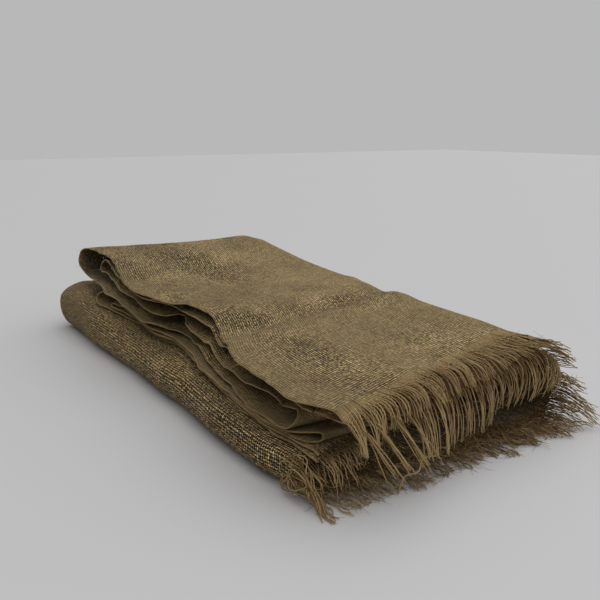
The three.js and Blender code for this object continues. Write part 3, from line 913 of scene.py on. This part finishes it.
def fibres_on(paths, weights, rng, count):
    """Fine curved fibres that branch off at random from threads, more from those of more weight."""
    thread = rng.choice(paths.shape[0], count, p=weights / weights.sum())
    knot = rng.integers(2, paths.shape[1] - 1, count)
    start = paths[thread, knot]
    ahead = unit(paths[thread, knot + 1] - start)
    first, second = rng.normal(size=(2, count, 3)) * FIBRE_SPREAD
    length = rng.uniform(*FIBRE_LENGTH, (count, 1))
    aside = FIBRE_BEND * second - FIBRE_RETURN * ahead
    made = [
        start + length * share * (ahead + first + aside * share)
        for share in np.linspace(0, 1, FIBRE_STEPS)
    ]
    made = np.stack(made, axis=1)
    made[:, :, 2] = np.maximum(made[:, :, 2], FIBRE_RADIUS * 2)
    radii = FIBRE_RADIUS * np.linspace(1.0, 0.5, FIBRE_STEPS)[None].repeat(count, axis=0)
    return made, radii, rng.uniform(*FIBRE_TONES, (count, 1))


# Threads of the weft that have come loose and lie across the fringe: the end, the places v where
# each starts and stops, how many steps down the fringe threads it lies, and how far it weaves.
WEFT = (
    ("upper", 0.24, 0.36, 2.4, 1.2),
    ("upper", 0.52, 0.60, 5.0, 2.4),
    ("upper", 0.66, 0.84, 4.0, 2.2),
    ("upper", 0.88, 1.06, 7.0, 3.0),
    ("lower", 0.40, 0.52, 6.0, 2.5),
    ("lower", 0.60, 0.74, 9.0, 3.5),
    ("lower", 0.02, 0.10, 4.0, 1.5),
    ("upper", 3.05, 3.60, 4.0, 2.0),
    ("lower", 3.10, 3.50, 7.0, 3.0),
)
WEFT_STEP = 1.3  # between the points of such a thread
WEFT_LEAST = 6  # points that it has at least
WEFT_TURNS = (0.4, 0.13)  # radians of its two waves from thread to thread of the fringe
WEFT_ROUNDS = 4  # how many times its path is evened
WEFT_RISE = 1.8  # how high it lies over the fringe threads, in their radii
WEFT_THICKNESS = 0.6  # against theirs
WEFT_TONES = (0.3, 0.8)


def weft_on(fringe, start, stop, step, weave):
    """Path of one loose weft thread over the threads of a fringe."""
    count = fringe.paths.shape[0]
    ends = np.interp((start, stop), fringe.v, np.arange(count))
    steps = max(WEFT_LEAST, int((ends[1] - ends[0]) * fringe.pitch / WEFT_STEP))
    thread = np.linspace(ends[0], ends[1], steps)
    phase = fringe.rng.uniform(0, 2 * np.pi, 2)
    short_wave, long_wave = (
        np.sin(start_at + turn * thread) for start_at, turn in zip(phase, WEFT_TURNS)
    )
    down = np.clip(step + weave * short_wave * long_wave, 1, THREAD_STEPS - 2)
    low, part = np.floor(down).astype(int), (down % 1)[:, None]
    near = np.clip(np.round(thread).astype(int), 0, count - 1)
    path = mix(fringe.paths[near, low], fringe.paths[near, low + 1], part)
    for _ in range(WEFT_ROUNDS):
        path[1:-1] = (path[:-2] + 2 * path[1:-1] + path[2:]) / 4
    path[:, 2] += fringe.radius * WEFT_RISE
    return path


# Thread ends that have come out of the weave altogether: the points that each leads through, its
# radius and its tone.
STRAYS = (
    (((417, 54, 23), (419, 52, 20), (416, 45, 19), (419, 39, 14), (415, 33, 11), (415, 29, 2)),
     0.45, 1.0),
)
# Loops of loose thread at the frayed end of the front fold: x, y and z of the middle, width,
# height, the angle at which each starts, and its number of turns.
LOOPS = (
    (386, -19, 19, 7, 5, 0.3, 1.3),
    (390, -20, 13, 8, 6, 1.9, 1.5),
    (384, -20, 9, 6, 5, 3.4, 1.2),
    (394, -18, 8, 7, 4, 4.4, 1.4),
    (392, -17, 22, 6, 4, 5.3, 1.1),
    (380, -20, 15, 5, 6, 0.9, 1.2),
    (398, -14, 14, 6, 5, 2.6, 1.3),
)
LOOP_WAVER = {"by": 0.22, "times": 1.7}  # how much a loop's size wavers, and how often in a turn
LOOP_SWAY = 1.6  # how far it sways across
LOOP_LEAST = 0.6  # its least height
LOOP_THICKNESS = 0.9
LOOP_TONES = (0.3, 0.9)
CURVE_STEPS = 36


def path_through(points):
    """A smooth path through a few points."""
    places = list(range(len(points)))
    fine = np.linspace(0, len(points) - 1, CURVE_STEPS)
    columns = [curve_through(places, [point[k] for point in points], fine) for k in range(3)]
    return np.stack(columns, axis=-1)


def loop_path(x, y, z, wide, high, turn, turns):
    """An uneven loop that stands upright along x."""
    angle = turn + np.linspace(0, 2 * np.pi * turns, CURVE_STEPS)
    size = 1 + LOOP_WAVER["by"] * np.sin(LOOP_WAVER["times"] * angle + turn)
    along = x + wide * size * np.cos(angle)
    across = y + LOOP_SWAY * np.sin(2 * angle + turn)
    up = np.maximum(z + high * size * np.sin(angle), LOOP_LEAST)
    return np.stack([along, across, up], axis=-1)


def make_fringe(fringe, end, sheet, material):
    """All the loose threads of one frayed end, joined into one object."""
    rng, radius = fringe.rng, fringe.radius
    yarns, fibres = Yarns(THREAD_SIDES), Yarns(FIBRE_SIDES)
    yarns.add(fringe.paths, fringe.radii, fringe.tones)
    for name, *loose in WEFT:
        if name == end:
            path = weft_on(fringe, *loose)
            yarns.add_one(path, radius * WEFT_THICKNESS, rng.uniform(*WEFT_TONES))
    if end == "upper":
        for points, stray_radius, tone in STRAYS:
            yarns.add_one(path_through(points), stray_radius, tone)
        for loop in LOOPS:
            yarns.add_one(loop_path(*loop), radius * LOOP_THICKNESS, rng.uniform(*LOOP_TONES))
    fuzzy = np.where(np.floor(fringe.v) == FUZZY_RUN, FUZZ, 1.0)
    fibres.add(*fibres_on(fringe.paths, fuzzy, rng, FIBRES))
    yarns.join(fibres)
    return yarns.make(f"frayed_{end}_end", material, sheet.shift())


SELVEDGE_RADIUS = 0.46
SELVEDGE_TONE = 0.6
SELVEDGE_FIBRES = 120  # fine fibres along each woven edge
SELVEDGE_BULGE = 0.26  # uneven thickness of the edge thread


def make_selvedges(sheet, material):
    """The turned edge threads along both woven edges, joined into one object."""
    rng = np.random.default_rng(SEED)
    yarns, fibres = Yarns(THREAD_SIDES), Yarns(FIBRE_SIDES)
    for edge in (0, -1):
        path = sheet.points[:, edge].copy()
        path[:, 2] = np.maximum(path[:, 2], SELVEDGE_RADIUS)
        lumps = SELVEDGE_BULGE * rng.normal(size=(1, len(path)))
        yarns.add(path[None], SELVEDGE_RADIUS * (1 + lumps), np.array([[SELVEDGE_TONE]]))
        fibres.add(*fibres_on(path[None], np.ones(1), rng, SELVEDGE_FIBRES))
    yarns.join(fibres)
    return yarns.make("selvedge_threads", material, sheet.shift())


# ---- Materials ----


class Nodes:
    """Shorter words for making a node tree."""

    def __init__(self, tree):
        self.tree = tree

    def add(self, kind, values=None, **settings):
        """A node with its settings and its unlinked inputs or links."""
        node = self.tree.nodes.new(kind)
        for name, value in settings.items():
            setattr(node, name, value)
        for name, value in (values or {}).items():
            self.feed(node.inputs[name], value)
        return node

    def feed(self, socket, value):
        """A link if value is an output, and otherwise the socket's own value."""
        if isinstance(value, bpy.types.NodeSocket):
            self.tree.links.new(value, socket)
        else:
            socket.default_value = value

    def math(self, operation, first, second=0.0):
        """The result of one Math node."""
        node = self.add("ShaderNodeMath", operation=operation)
        for socket, value in zip(node.inputs, (first, second)):
            self.feed(socket, value)
        return node.outputs[0]

    def times(self, first, second):
        """The product of two values."""
        return self.math("MULTIPLY", first, second)

    def plus(self, first, second):
        """The sum of two values."""
        return self.math("ADD", first, second)

    def minus(self, first, second):
        """The first value less the second."""
        return self.math("SUBTRACT", first, second)

    def span(self, value, low, high, to_low=0.0, to_high=1.0):
        """Value carried smoothly from one range to another."""
        ends = {"From Min": low, "From Max": high, "To Min": to_low, "To Max": to_high}
        kind = "ShaderNodeMapRange"
        node = self.add(kind, {"Value": value, **ends}, interpolation_type="SMOOTHSTEP")
        return node.outputs["Result"]

    def noise(self, place, scale, detail=2.0, roughness=0.5):
        """One noise value from about 0 to 1."""
        inputs = {"Vector": place, "Scale": scale, "Detail": detail, "Roughness": roughness}
        return self.add("ShaderNodeTexNoise", inputs).outputs["Fac"]

    def stretched_noise(self, own, other, pace, seed, detail=2.0):
        """Noise that changes at one pace with own and at another with other."""
        place = self.point(self.times(own, pace[0]), self.times(other, pace[1]), seed)
        return self.noise(place, 1.0, detail)

    def value_of(self, name):
        """A value that the mesh holds for each vertex."""
        return self.add("ShaderNodeAttribute", attribute_name=name).outputs["Fac"]

    def blend(self, share, first, second, mode="MIX"):
        """Two colours mixed."""
        node = self.add("ShaderNodeMix", data_type="RGBA", blend_type=mode)
        self.feed(node.inputs[0], share)
        self.feed(node.inputs[6], first)
        self.feed(node.inputs[7], second)
        return node.outputs[2]

    def point(self, x, y, z=0.0):
        """A place from its three numbers."""
        return self.add("ShaderNodeCombineXYZ", {"X": x, "Y": y, "Z": z}).outputs[0]


def new_group(name, inputs, outputs):
    """An empty shader group with sockets of the given kinds, and its two end nodes."""
    tree = bpy.data.node_groups.new(name, "ShaderNodeTree")
    for in_out, sockets in (("INPUT", inputs), ("OUTPUT", outputs)):
        for label, kind in sockets.items():
            tree.interface.new_socket(label, in_out=in_out, socket_type=f"NodeSocket{kind}")
    nodes = Nodes(tree)
    return nodes, nodes.add("NodeGroupInput").outputs, nodes.add("NodeGroupOutput").inputs


NOISE_RANGE = (0.3, 0.7)  # most of a noise lies between these
WAVER = 0.8  # how far threads stray, in threads
WAVER_PACE = (0.11, 0.08)  # how fast they do so, from thread to thread and along them
SLUB = (0.62, 1.42)  # thinnest and thickest stretch of a thread
SLUB_PACE = (7.31, 0.21)
SLUB_SEED = 5.0  # what is added to a thread system's own seed
TONE_PACE = (3.7, 0.09)  # of each thread's own tone
OPENNESS = (1.55, 0.74)  # thread width where the cloth is close and where it is open
PATCHES = {"scale": 26.0, "detail": 4.0, "roughness": 0.6}  # noise that opens the weave
PATCHINESS = 1.7  # how unevenly the weave is open
CROWN = 0.55  # mean height of a thread, the rest being its way over and under
HOLE = (1.35, 1.45)  # the weave is clear this many half widths from the threads about a gap
FRAY = (0.0, 0.003)  # the last thread across lies this far from the end, at least and at most
FRAY_SCALE = 120.0
PULLED_OUT = 9.0  # half widths added beyond that thread, so that the weft is clear there


def thread_system(nodes, own, other, width, seed):
    """One set of parallel threads: own counts them, and other runs along them. Returns how far a
    place lies from its thread's middle against the thread's half width, the thread's number, and
    the place as the wavering threads count it."""
    waver = nodes.stretched_noise(own, other, WAVER_PACE, seed)
    place = nodes.plus(own, nodes.times(nodes.minus(waver, 0.5), WAVER))
    number = nodes.math("FLOOR", place)
    middle = nodes.minus(nodes.minus(place, number), 0.5)
    slub = nodes.stretched_noise(number, other, SLUB_PACE, seed + SLUB_SEED, detail=3.0)
    half = nodes.times(width, nodes.span(slub, *NOISE_RANGE, *SLUB))
    return nodes.math("DIVIDE", nodes.math("ABSOLUTE", middle), half), number, place


def sign(nodes, number):
    """1 for an even thread and -1 for an odd one."""
    odd = nodes.math("ABSOLUTE", nodes.math("MODULO", number, 2.0))
    return nodes.minus(1.0, nodes.times(odd, 2.0))


def swing(nodes, place):
    """A wave that goes over and under once in two threads."""
    return nodes.math("COSINE", nodes.times(nodes.minus(place, 0.5), math.pi))


def lifted(nodes, off, way):
    """Height of a round thread that lies off from its middle, on its way over and under."""
    inside = nodes.minus(1.0, nodes.times(off, off))
    crown = nodes.math("SQRT", nodes.math("MAXIMUM", inside, 0.0))
    return nodes.times(crown, nodes.plus(CROWN, nodes.times(way, 1 - CROWN)))


def make_weave_group():
    """Open plain weave: threads over and under each other, with gaps between them."""
    numbers = dict.fromkeys(("Pitch", "Width", "Length", "Open"), "Float")
    results = dict.fromkeys(("Height", "Thread", "Tone"), "Float")
    nodes, given, out = new_group("plain weave", {"Flat": "Vector", **numbers}, results)
    flat = nodes.add("ShaderNodeSeparateXYZ", {"Vector": given["Flat"]}).outputs
    weft = nodes.math("DIVIDE", flat["X"], given["Pitch"])
    warp = nodes.math("DIVIDE", flat["Y"], given["Pitch"])
    patch = nodes.noise(given["Flat"], **PATCHES)
    uneven = nodes.times(nodes.minus(patch, 0.5), PATCHINESS)
    opened = nodes.plus(given["Open"], uneven)
    width = nodes.times(given["Width"], nodes.span(opened, 0.0, 1.0, *OPENNESS))
    weft_off, weft_number, weft_place = thread_system(nodes, weft, warp, width, seed=1.0)
    warp_off, warp_number, warp_place = thread_system(nodes, warp, weft, width, seed=2.0)
    ragged = nodes.noise(given["Flat"], FRAY_SCALE)
    to_end = nodes.math("MINIMUM", flat["X"], nodes.minus(given["Length"], flat["X"]))
    frayed = nodes.math("LESS_THAN", to_end, nodes.span(ragged, *NOISE_RANGE, *FRAY))
    weft_off = nodes.plus(weft_off, nodes.times(frayed, PULLED_OUT))
    over = nodes.times(swing(nodes, warp_place), sign(nodes, weft_number))
    under = nodes.times(swing(nodes, weft_place), sign(nodes, warp_number))
    weft_height = lifted(nodes, weft_off, over)
    warp_height = lifted(nodes, warp_off, nodes.times(under, -1.0))
    weft_on_top = nodes.math("GREATER_THAN", weft_height, warp_height)
    warp_tone = nodes.stretched_noise(warp_number, weft, TONE_PACE, seed=12.0)
    weft_tone = nodes.stretched_noise(weft_number, warp, TONE_PACE, seed=11.0)
    tone = nodes.add("ShaderNodeMix", {0: weft_on_top, 2: warp_tone, 3: weft_tone}).outputs[0]
    nearest = nodes.math("MINIMUM", weft_off, warp_off)
    nodes.feed(out["Height"], nodes.math("MAXIMUM", weft_height, warp_height))
    nodes.feed(out["Thread"], nodes.span(nearest, *HOLE, 1.0, 0.0))
    nodes.feed(out["Tone"], tone)
    return nodes.tree


TONE_RANGE = (0.25, 0.75)  # tones that take the dark and the light colour
SURFACE = {
    "Roughness": 0.93,
    "Specular IOR Level": 0.25,
    "Sheen Weight": 0.04,
    "Sheen Roughness": 0.6,
}
OPEN_RANGE = (0.15, 0.95)  # from close weave to open weave
GAP_PAINTED_SHADE = (0.38, 0.0)  # painted shade: how dark the lowest parts of the threads are in each
CROWN_PAINTED_HIGHLIGHT = (1.17, 2.35)  # painted highlight: how bright their crowns are in each
DULL_SPECKS = (0.8, 0.2)  # how dark the dullest specks of the threads are in each
BRIGHT_SPECKS = (1.16, 1.6)  # and how bright the brightest
SPECK_SCALE = 420.0
LOW_TO_CROWN = (0.2, 0.95)  # heights of the lowest parts and of the crowns
CLOUDS = {"scale": 11.0, "detail": 4.0}  # noise of broad light and dark places
CLOUD_SHADE = (0.9, 1.08)
RELIEF = 0.3  # depth of the weave against its pitch
TWISTS = 900.0  # turns of a loose thread in a metre
TWIST_RELIEF = {"Strength": 0.5, "Distance": 0.0001}


def shaded_linen(nodes, tone, light, dark):
    """Colour of a thread from its tone."""
    return nodes.blend(nodes.span(tone, *TONE_RANGE), (*dark, 1.0), (*light, 1.0))


def own_shader(tree):
    """The shader that a new material comes with."""
    return next(node for node in tree.nodes if node.type == "BSDF_PRINCIPLED")


def linen_material(name):
    """A material with the surface of linen, its nodes and its shader."""
    material = bpy.data.materials.new(name)
    material.use_nodes = True
    shader = own_shader(material.node_tree)
    for socket, value in SURFACE.items():
        shader.inputs[socket].default_value = value
    return material, Nodes(material.node_tree), shader


def make_linen(settings, weave, flat_length):
    """Coarse linen: the weave's relief, gaps and threads of slightly different tones, with painted
    shade low between the threads and painted highlight on their crowns.
    """
    material, nodes, shader = linen_material("natural linen")
    flat = nodes.add("ShaderNodeUVMap", uv_map="flat").outputs["UV"]
    opened = nodes.value_of("open")
    inputs = {
        "Flat": flat,
        "Pitch": settings.pitch,
        "Width": settings.thread_share,
        "Length": flat_length,
        "Open": opened,
    }
    woven = nodes.add("ShaderNodeGroup", node_tree=weave)
    for name, value in inputs.items():
        nodes.feed(woven.inputs[name], value)
    height = woven.outputs["Height"]
    colour = shaded_linen(nodes, woven.outputs["Tone"], settings.light_linen, settings.dark_linen)
    # painted shade low between the threads and painted highlight on their crowns, both stronger
    # where the weave is open
    dark, bright, dull, glint = (
        nodes.span(opened, *OPEN_RANGE, *shades)
        for shades in (GAP_PAINTED_SHADE, CROWN_PAINTED_HIGHLIGHT, DULL_SPECKS, BRIGHT_SPECKS)
    )
    shade = nodes.span(height, *LOW_TO_CROWN, dark, bright)
    cloud = nodes.span(nodes.noise(flat, **CLOUDS), *NOISE_RANGE, *CLOUD_SHADE)
    speck = nodes.span(nodes.noise(flat, SPECK_SCALE), *NOISE_RANGE, dull, glint)
    # kept brings in the painted shade and light of the mesh; the clouds and specks are random tones
    for part in (cloud, speck, nodes.value_of("kept")):
        shade = nodes.times(shade, part)
    colour = nodes.blend(1.0, colour, nodes.point(shade, shade, shade), "MULTIPLY")
    nodes.feed(shader.inputs["Base Color"], colour)
    nodes.feed(shader.inputs["Alpha"], woven.outputs["Thread"])
    relief = {"Strength": 1.0, "Distance": settings.pitch * RELIEF, "Height": height}
    bump = nodes.add("ShaderNodeBump", relief)
    nodes.feed(shader.inputs["Normal"], bump.outputs["Normal"])
    return material


def make_thread_linen(settings):
    """The loose threads: the same fibre, with a twist along each thread."""
    material, nodes, shader = linen_material("loose linen threads")
    tone = nodes.value_of("tone")
    colour = shaded_linen(nodes, tone, settings.light_thread, settings.dark_thread)
    nodes.feed(shader.inputs["Base Color"], colour)
    thread = nodes.add("ShaderNodeUVMap", uv_map="thread").outputs["UV"]
    place = nodes.add("ShaderNodeSeparateXYZ", {"Vector": thread}).outputs
    twist = nodes.plus(nodes.times(place["X"], TWISTS), place["Y"])
    ridge = nodes.math("SINE", nodes.times(twist, 2 * math.pi))
    bump = nodes.add("ShaderNodeBump", {**TWIST_RELIEF, "Height": ridge})
    nodes.feed(shader.inputs["Normal"], bump.outputs["Normal"])
    return material


# ---- Settings ----


def length_setting(name, description, default):
    """A length that a user can change."""
    said = {"name": name, "description": description}
    return FloatProperty(**said, default=default, unit="LENGTH", precision=5)


def colour_setting(name, description, default):
    """A colour that a user can change."""
    said = {"name": name, "description": description}
    return FloatVectorProperty(**said, default=default, subtype="COLOR")


class ClothSettings(PropertyGroup):
    """Sizes and colours of the cloth and its threads."""

    thickness: length_setting("Thickness", "Thickness of the woven cloth", 0.001)
    pitch: length_setting("Thread pitch", "Distance from one thread to the next", 0.00195)
    thread_share: FloatProperty(
        name="Thread half width", description="Half width of a thread as a share of the pitch",
        default=0.31, subtype="FACTOR",
    )
    fringe_length: length_setting("Fringe length", "Length of the loose threads", 0.034)
    thread_diameter: length_setting("Thread diameter", "Diameter of a loose thread", 0.00084)
    light_linen: colour_setting("Light linen", "Lightest tone of the cloth", (0.35, 0.253, 0.114))
    dark_linen: colour_setting("Dark linen", "Darkest tone of the cloth", (0.228, 0.158, 0.066))
    light_thread: colour_setting("Light thread", "Lightest loose thread", (0.36, 0.252, 0.115))
    dark_thread: colour_setting("Dark thread", "Darkest loose thread", (0.15, 0.084, 0.03))


class StageSettings(PropertyGroup):
    """Floor, light and camera."""

    floor_colour: colour_setting("Floor", "Colour of the floor", (0.6, 0.595, 0.6))
    focal_length: FloatProperty(
        name="Focal length", description="Focal length of the camera", default=45.0, unit="CAMERA"
    )
    camera_place: FloatVectorProperty(
        name="Camera place", description="Where the camera stands",
        default=(0.4931, -0.3014, 0.1938), subtype="TRANSLATION",
    )
    camera_azimuth: FloatProperty(
        name="Camera azimuth", description="Direction it looks in",
        default=math.radians(56.77), subtype="ANGLE",
    )
    camera_pitch: FloatProperty(
        name="Camera pitch", description="How far it looks down",
        default=math.radians(13.17), subtype="ANGLE",
    )


# ---- The stage ----

FLOOR_REACH = 4.0  # from the middle of the floor to its sides
FLOOR_ROUGHNESS = 0.6
BRIGHTEST = (0.2, 0.3, 0.93)  # direction of the brightest part of the dome
DOME = (0.0, 0.95, 0.14, 1.22)  # where it starts and stops growing brighter, from and to what
BACKDROP = 0.48  # brightness of the plain backdrop
SENSOR_WIDTH = 36.0


def make_floor(settings):
    """A wide pale floor."""
    corners = np.array([(-1, -1, 0), (1, -1, 0), (1, 1, 0), (-1, 1, 0)]) * FLOOR_REACH
    material = bpy.data.materials.new("pale floor")
    material.use_nodes = True
    shader = own_shader(material.node_tree)
    shader.inputs["Base Color"].default_value = (*settings.floor_colour, 1.0)
    shader.inputs["Roughness"].default_value = FLOOR_ROUGHNESS
    floor = new_object("floor", corners, [(0, 1, 2, 3)], material)


def make_light(scene):
    """Soft light from above: a dome that is brightest near overhead, seen as a plain backdrop."""
    world = bpy.data.worlds.new("studio")
    scene.world = world
    world.use_nodes = True
    nodes = Nodes(world.node_tree)
    background = next(node for node in world.node_tree.nodes if node.type == "BACKGROUND")
    direction = nodes.add("ShaderNodeTexCoord").outputs["Generated"]
    ends = {0: direction, 1: BRIGHTEST}
    towards = nodes.add("ShaderNodeVectorMath", ends, operation="DOT_PRODUCT")
    dome = nodes.span(towards.outputs["Value"], *DOME)
    seen = nodes.add("ShaderNodeLightPath").outputs["Is Camera Ray"]
    unseen = nodes.minus(1.0, seen)
    strength = nodes.plus(nodes.times(seen, BACKDROP), nodes.times(unseen, dome))
    nodes.feed(background.inputs["Strength"], strength)
    background.inputs["Color"].default_value = (1.0, 1.0, 1.0, 1.0)
    scene.view_settings.view_transform = "Standard"


def make_camera(scene, settings):
    """A camera a little above the cloth, looking across its front corner."""
    data = bpy.data.cameras.new("camera")
    data.lens = settings.focal_length
    data.sensor_width = SENSOR_WIDTH
    camera = bpy.data.objects.new("camera", data)
    camera.location = settings.camera_place
    camera.rotation_euler = (math.pi / 2 - settings.camera_pitch, 0.0, settings.camera_azimuth)
    scene.collection.objects.link(camera)
    scene.camera = camera


# ---- Operators ----


def packed(piece, node):
    """Hides the imported part that a piece stands in for, and hangs the piece on the root body."""
    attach(piece, "root")
    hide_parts(node)


class TABLECLOTH_OT_lay_cloth(Operator):
    """Makes the folded cloth"""

    bl_idname = "tablecloth.lay_cloth"
    bl_label = "Lay the cloth"

    def execute(self, context):
        settings = context.scene.tablecloth
        sheet = Sheet(settings.thickness / MM)
        weave = make_weave_group()
        cloth = make_cloth(sheet, make_linen(settings, weave, sheet.size()[1] * MM))
        packed(cloth, "cloth")
        return {"FINISHED"}


class TABLECLOTH_OT_fray_ends(Operator):
    bl_idname = "tablecloth.fray_ends"
    bl_label = "Fray the ends"

    def execute(self, context):
        settings = context.scene.tablecloth
        sheet = Sheet(settings.thickness / MM)
        material = make_thread_linen(settings)
        selvedges = make_selvedges(sheet, material)
        packed(selvedges, "cloth")
        for end in ("upper", "lower"):
            piece = make_fringe(Fringe(sheet, end, settings), end, sheet, material)
            packed(piece, f"fringe_{end}")
        return {"FINISHED"}


class TABLECLOTH_OT_set_stage(Operator):
    """Makes the floor, the light and the camera"""

    bl_idname = "tablecloth.set_stage"
    bl_label = "Set the stage"

    def execute(self, context):
        settings = context.scene.tablecloth_stage
        make_floor(settings)
        make_light(context.scene)
        make_camera(context.scene, settings)
        return {"FINISHED"}


class TABLECLOTH_PT_panel(Panel):
    """Lists the steps that make the tablecloth"""

    bl_label = "Tablecloth"
    bl_idname = "TABLECLOTH_PT_panel"
    bl_space_type = "VIEW_3D"
    bl_region_type = "UI"
    bl_category = "Tablecloth"

    def draw(self, context):
        for step in STEPS:
            self.layout.operator(step.bl_idname)


STEPS = (TABLECLOTH_OT_set_stage, TABLECLOTH_OT_lay_cloth, TABLECLOTH_OT_fray_ends)
CLASSES = (ClothSettings, StageSettings, *STEPS, TABLECLOTH_PT_panel)


def register():
    """Makes the settings, steps and panel known."""
    for each in CLASSES:
        bpy.utils.register_class(each)
    bpy.types.Scene.tablecloth = PointerProperty(type=ClothSettings)
    bpy.types.Scene.tablecloth_stage = PointerProperty(type=StageSettings)


def unregister():
    """Takes them away again."""
    del bpy.types.Scene.tablecloth_stage
    del bpy.types.Scene.tablecloth
    for each in reversed(CLASSES):
        bpy.utils.unregister_class(each)


def main():
    """Makes everything in order."""
    register()
    bpy.ops.tablecloth.set_stage()
    bpy.ops.tablecloth.lay_cloth()
    bpy.ops.tablecloth.fray_ends()


if __name__ == "__main__":
    main()
